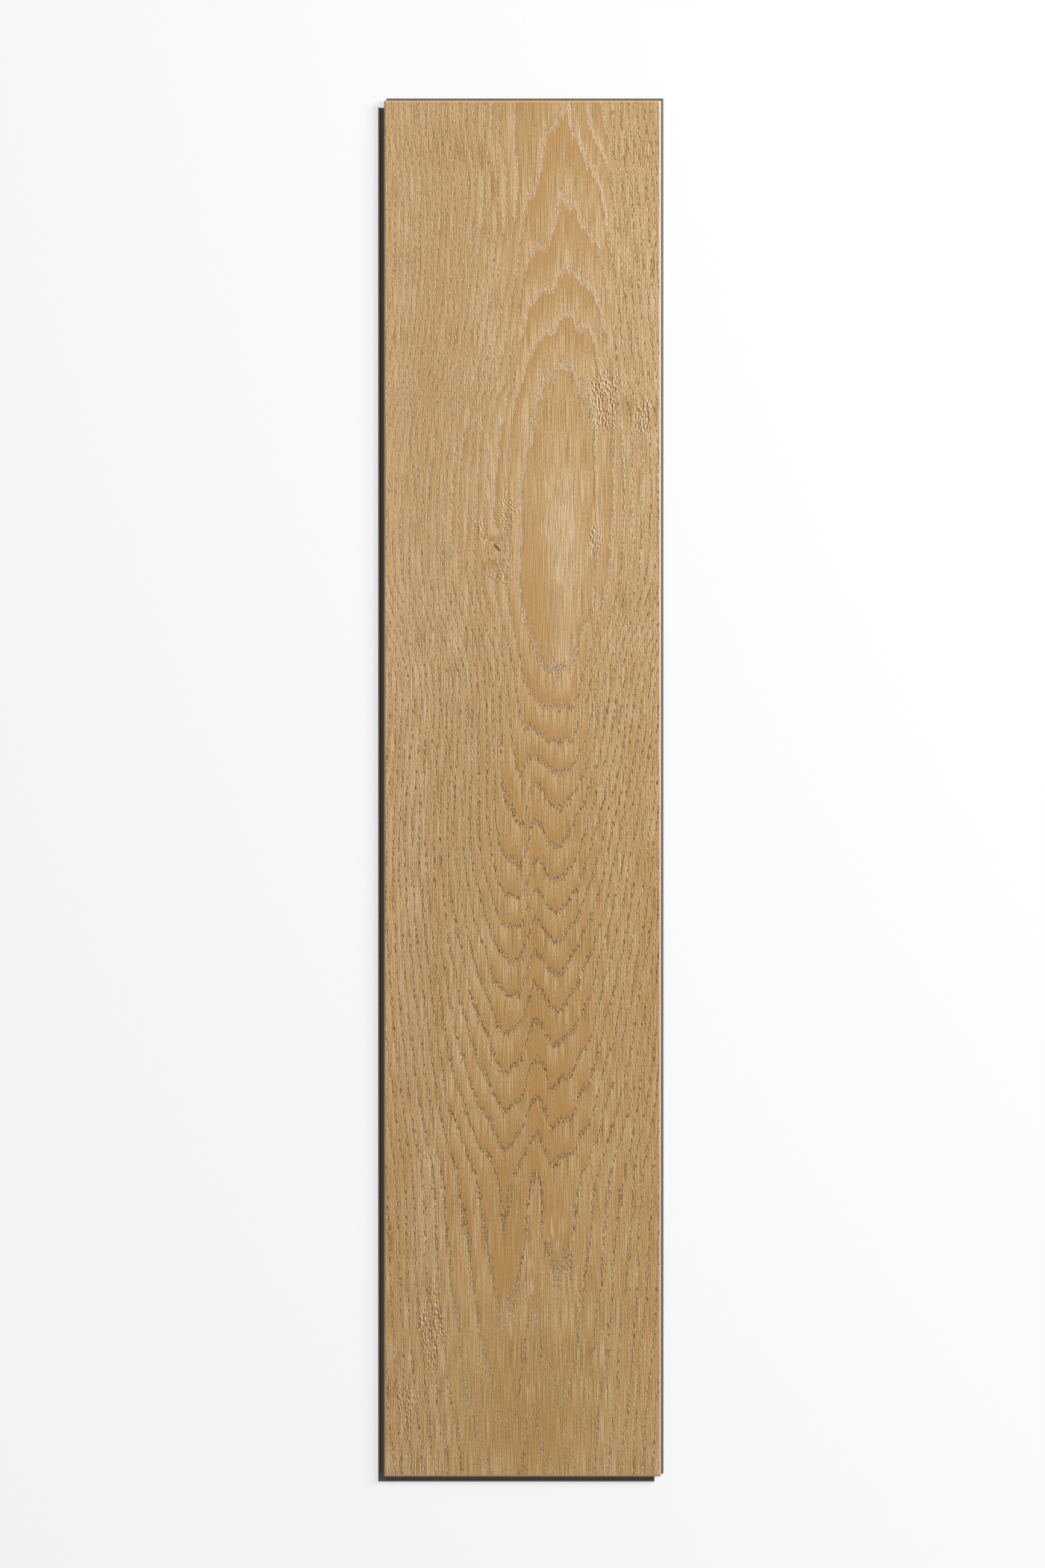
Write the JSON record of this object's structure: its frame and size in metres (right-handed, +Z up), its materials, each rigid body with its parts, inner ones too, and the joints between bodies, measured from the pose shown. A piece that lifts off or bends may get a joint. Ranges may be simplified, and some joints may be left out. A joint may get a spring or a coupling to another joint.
{
  "type": "vinyl floor plank",
  "caption": "Rigid vinyl floor plank with an oak-look embossed face, painted bevels and a locking lip and tongue along its edges.",
  "frame": {"origin": "on the underside, in the middle of the rectangle that one plank takes up in a laid floor", "axes": "+X across the plank towards the long tongue, +Y along it towards the short tongue, +Z up out of the printed face"},
  "size_m": [0.1898, 0.9198, 0.005],
  "materials": {
    "vinyl": "matte"
  },
  "bodies": {
    "root": {"plank": "vinyl"}
  },
  "joints": []
}
